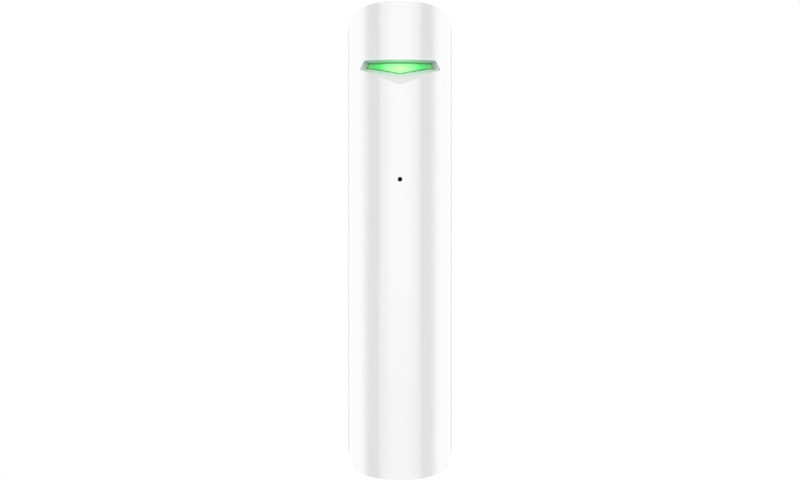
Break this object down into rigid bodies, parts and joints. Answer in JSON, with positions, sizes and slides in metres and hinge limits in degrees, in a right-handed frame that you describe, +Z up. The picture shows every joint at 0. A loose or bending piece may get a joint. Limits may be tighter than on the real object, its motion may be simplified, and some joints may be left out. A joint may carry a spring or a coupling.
{
  "type": "glass break sensor",
  "caption": "Slim upright wireless glass break sensor: glossy half-round front with a lit chevron notch and a sound hole, matte back, sliding on a wall bracket.",
  "frame": {"origin": "midway between the two wall-screw holes, on the bracket's wall face", "axes": "+Z up along the sensor, +Y towards the wall, the rounded front faces -Y, +X to the right seen from the front"},
  "size_m": [0.02, 0.02, 0.09],
  "materials": {
    "cover_gloss_white": "high-gloss moulded white",
    "housing_matte_white": "fine matte moulded light grey-white",
    "bracket_matte_white": "fine matte moulded light grey-white",
    "guide_lit_green": "clear plastic lit green from behind",
    "board_green": "solder mask over glass laminate",
    "screw_steel": "zinc-plated",
    "led_resin": "milky resin",
    "capsule_aluminium": "drawn can",
    "boot_rubber": "moulded black",
    "membrane_cloth": "fine acoustic cloth",
    "tinned_wire": "tinned",
    "shield_tin": "tinned sheet",
    "chip_black": "moulded package",
    "antenna_brass": "stamped strip",
    "capacitor_can": "drawn can",
    "capacitor_tan": "fired ceramic",
    "switch_black": "moulded",
    "plunger_white": "moulded",
    "slider_grey": "moulded",
    "cell_sleeve": "shrink sleeve",
    "contact_nickel": "nickel-plated spring sheet",
    "label_plain": "blank film label"
  },
  "bodies": {
    "bracket": {"wall_bracket": "bracket_matte_white"},
    "sensor": {"front_cover": "cover_gloss_white", "rear_housing": "housing_matte_white", "light_guide": "guide_lit_green", "circuit_board": "board_green", "board_screws": "screw_steel", "status_led": "led_resin", "microphone_capsule": "capsule_aluminium", "microphone_boot": "boot_rubber", "sound_membrane": "membrane_cloth", "microphone_pins": "tinned_wire", "radio_shield": "shield_tin", "processor_chip": "chip_black", "antenna": "antenna_brass", "reservoir_capacitor": "capacitor_can", "chip_capacitors": "capacitor_tan", "tamper_switch": "switch_black", "power_switch_body": "switch_black", "battery_cell": "cell_sleeve", "plus_contact": "contact_nickel", "minus_contact": "contact_nickel", "rear_label": "label_plain"},
    "power_slider": {"power_switch_slider": "slider_grey"},
    "tamper_button": {"tamper_plunger": "plunger_white"}
  },
  "joints": [
    {"name": "sensor_slide", "type": "slide", "parent": "bracket", "child": "sensor", "axis": [0, 0, 1], "range_m": [0, 0.006]},
    {"name": "power_switch", "type": "slide", "parent": "sensor", "child": "power_slider", "axis": [1, 0, 0], "range_m": [0, 0.0015]},
    {"name": "tamper_press", "type": "slide", "parent": "sensor", "child": "tamper_button", "axis": [0, 1, 0], "range_m": [-0.0006, 0], "stiffness_N_per_m": 400}
  ]
}
